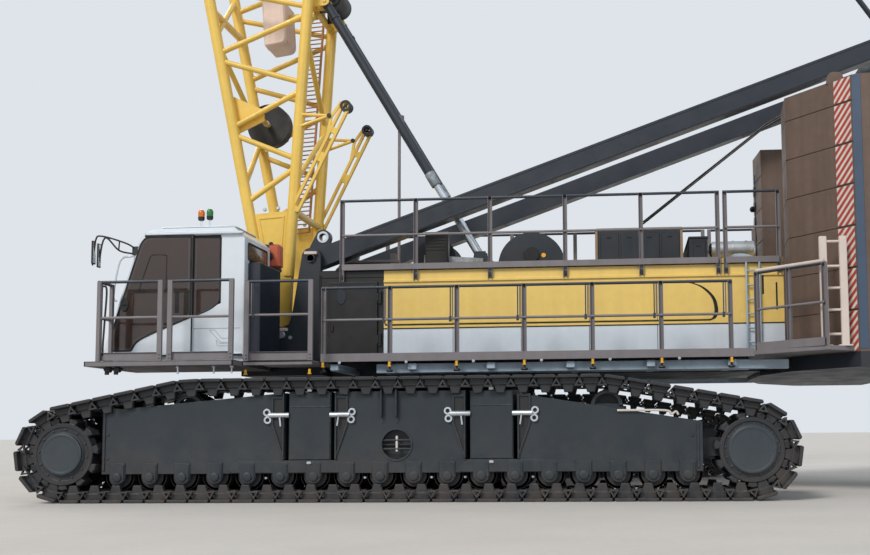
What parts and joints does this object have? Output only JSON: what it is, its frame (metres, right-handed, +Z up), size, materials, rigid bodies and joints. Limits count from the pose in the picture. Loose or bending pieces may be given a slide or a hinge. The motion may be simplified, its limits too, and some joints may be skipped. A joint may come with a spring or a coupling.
{
  "type": "crawler crane",
  "caption": "Crawler crane with lattice boom, A-frame, back-stops, hollow cab, machinery house, winches, stacked counterweights and shoe tracks; slews, luffs and opens its doors.",
  "frame": {"origin": "on the ground under the slewing axis", "axes": "+X forward, +Y to the crane's left (cab) side, +Z up"},
  "size_m": [13.1341, 8.4, 23.6032],
  "materials": {
    "undercarriage_paint": "satin dark blue-grey paint",
    "track_steel": "dark steel, worn on the ground faces",
    "ring_steel": "machined steel",
    "platform_paint": "satin dark paint",
    "frame_paint": "satin pale blue-grey paint",
    "rail_paint": "satin taupe paint",
    "house_white": "gloss white paint",
    "yellow_paint": "gloss warm yellow paint",
    "black_paint": "satin black paint",
    "engine_iron": "plain block",
    "silver_metal": "brushed pipes",
    "cab_glass": "tinted glass",
    "seat_fabric": "dark upholstery",
    "weight_paint": "matt grey-brown paint",
    "navy_paint": "satin dark blue-black paint",
    "rod_steel": "polished rod",
    "hook_paint": "dark forged steel"
  },
  "bodies": {
    "undercarriage": {"carbody": "undercarriage_paint", "slew_ring": "ring_steel", "track_frame_left": "undercarriage_paint", "track_frame_right": "undercarriage_paint", "track_left": "track_steel", "track_right": "track_steel", "track_rollers": "undercarriage_paint", "drive_tumblers": "undercarriage_paint", "idlers": "undercarriage_paint"},
    "upper": {"platform": "platform_paint", "walkways": "frame_paint", "walkway_rails": "rail_paint", "house_lower": "house_white", "house_upper": "yellow_paint", "house_front": "black_paint", "engine": "engine_iron", "deck_rails": "rail_paint", "deck_gear": "platform_paint", "winch_stands": "platform_paint", "exhaust": "silver_metal", "cab_platform": "rail_paint", "cab": "house_white", "cab_glass": "cab_glass", "cab_seat": "seat_fabric", "cab_post": "platform_paint", "counterweight_base": "platform_paint", "counterweight_left": "weight_paint", "counterweight_right": "weight_paint", "rear_access": "rail_paint", "lamp_pole": "rail_paint"},
    "house_door": {"house_door": "black_paint"},
    "cab_door": {"cab_door": "house_white", "cab_door_glass": "cab_glass"},
    "hoist_winch": {"hoist_winch": "platform_paint"},
    "luffing_winch": {"luffing_winch": "platform_paint"},
    "a_frame": {"a_frame_arms": "navy_paint", "a_frame_ties": "navy_paint"},
    "stays": {"stays": "navy_paint"},
    "boom": {"boom_foot": "yellow_paint", "boom_middle": "yellow_paint", "boom_head": "yellow_paint", "boom_fittings": "yellow_paint", "boom_tank": "house_white", "boom_reel": "black_paint", "rope_guides": "yellow_paint"},
    "guide_sheave": {"guide_sheave": "black_paint"},
    "head_sheaves": {"head_sheaves": "platform_paint"},
    "hook_block": {"hook_block": "yellow_paint"},
    "hook": {"hook": "hook_paint"},
    "backstop_tube_left": {"backstop_tube_left": "navy_paint"},
    "backstop_tube_right": {"backstop_tube_right": "navy_paint"},
    "backstop_rod_left": {"backstop_rod_left": "rod_steel"},
    "backstop_rod_right": {"backstop_rod_right": "rod_steel"}
  },
  "joints": [
    {"name": "slew", "type": "hinge", "parent": "undercarriage", "child": "upper", "pos_m": [0, 0, 1.6], "axis": [0, 0, 1], "continuous": true},
    {"name": "boom_luff", "type": "hinge", "parent": "upper", "child": "boom", "pos_m": [2.646, 0, 2.385], "axis": [0, 1, 0], "range_deg": [0, 70]},
    {"name": "a_frame_luff", "type": "hinge", "parent": "upper", "child": "a_frame", "pos_m": [1.998, 0, 3.575], "axis": [0, 1, 0], "range_deg": [0, 79]},
    {"name": "stay_swing", "type": "hinge", "parent": "a_frame", "child": "stays", "pos_m": [-7.52268, 0, 6.94645], "axis": [0, 1, 0], "range_deg": [-8.7, 0]},
    {"name": "hook_hang", "type": "hinge", "parent": "boom", "child": "hook_block", "pos_m": [5.0516, 0, 23.16782], "axis": [0, 1, 0], "range_deg": [-71, 0]},
    {"name": "hook_swivel", "type": "hinge", "parent": "hook_block", "child": "hook", "pos_m": [5.0516, 0, 18.34782], "axis": [0, 0, 1], "continuous": true},
    {"name": "head_sheave_spin", "type": "hinge", "parent": "boom", "child": "head_sheaves", "pos_m": [5.0516, 0, 23.16782], "axis": [0, 1, 0], "continuous": true},
    {"name": "guide_sheave_spin", "type": "hinge", "parent": "boom", "child": "guide_sheave", "pos_m": [3.05947, 0, 5.98994], "axis": [0, 1, 0], "continuous": true},
    {"name": "hoist_winch_spin", "type": "hinge", "parent": "upper", "child": "hoist_winch", "pos_m": [-1.38, 0, 3.62], "axis": [0, 1, 0], "continuous": true},
    {"name": "luffing_winch_spin", "type": "hinge", "parent": "upper", "child": "luffing_winch", "pos_m": [0.2, 0, 3.63], "axis": [0, 1, 0], "continuous": true},
    {"name": "house_door_hinge", "type": "hinge", "parent": "upper", "child": "house_door", "pos_m": [0.822, 1.58, 2.5], "axis": [0, 0, 1], "range_deg": [0, 100]},
    {"name": "cab_door_slide", "type": "slide", "parent": "upper", "child": "cab_door", "axis": [1, 0, 0], "range_m": [-0.72, 0]},
    {"name": "backstop_swing_left", "type": "hinge", "parent": "boom", "child": "backstop_tube_left", "pos_m": [1.98871, 0.5, 7.89427], "axis": [0, 1, 0], "range_deg": [-20, 0]},
    {"name": "backstop_stroke_left", "type": "slide", "parent": "backstop_tube_left", "child": "backstop_rod_left", "axis": [-0.5105, 0, -0.8599], "range_m": [0, 3.28]},
    {"name": "backstop_swing_right", "type": "hinge", "parent": "boom", "child": "backstop_tube_right", "pos_m": [1.98871, -0.5, 7.89427], "axis": [0, 1, 0], "range_deg": [-20, 0]},
    {"name": "backstop_stroke_right", "type": "slide", "parent": "backstop_tube_right", "child": "backstop_rod_right", "axis": [-0.5105, 0, -0.8599], "range_m": [0, 3.28]}
  ],
  "couplings": [
    {"joint": "a_frame_luff", "follows": "boom_luff", "ratio": 1.127},
    {"joint": "stay_swing", "follows": "boom_luff", "ratio": -0.12413},
    {"joint": "hook_hang", "follows": "boom_luff", "ratio": -1},
    {"joint": "backstop_swing_left", "follows": "boom_luff", "ratio": -0.28031},
    {"joint": "backstop_stroke_left", "follows": "boom_luff", "m_per_rad": 2.6751},
    {"joint": "backstop_swing_right", "follows": "boom_luff", "ratio": -0.28031},
    {"joint": "backstop_stroke_right", "follows": "boom_luff", "m_per_rad": 2.6751}
  ]
}
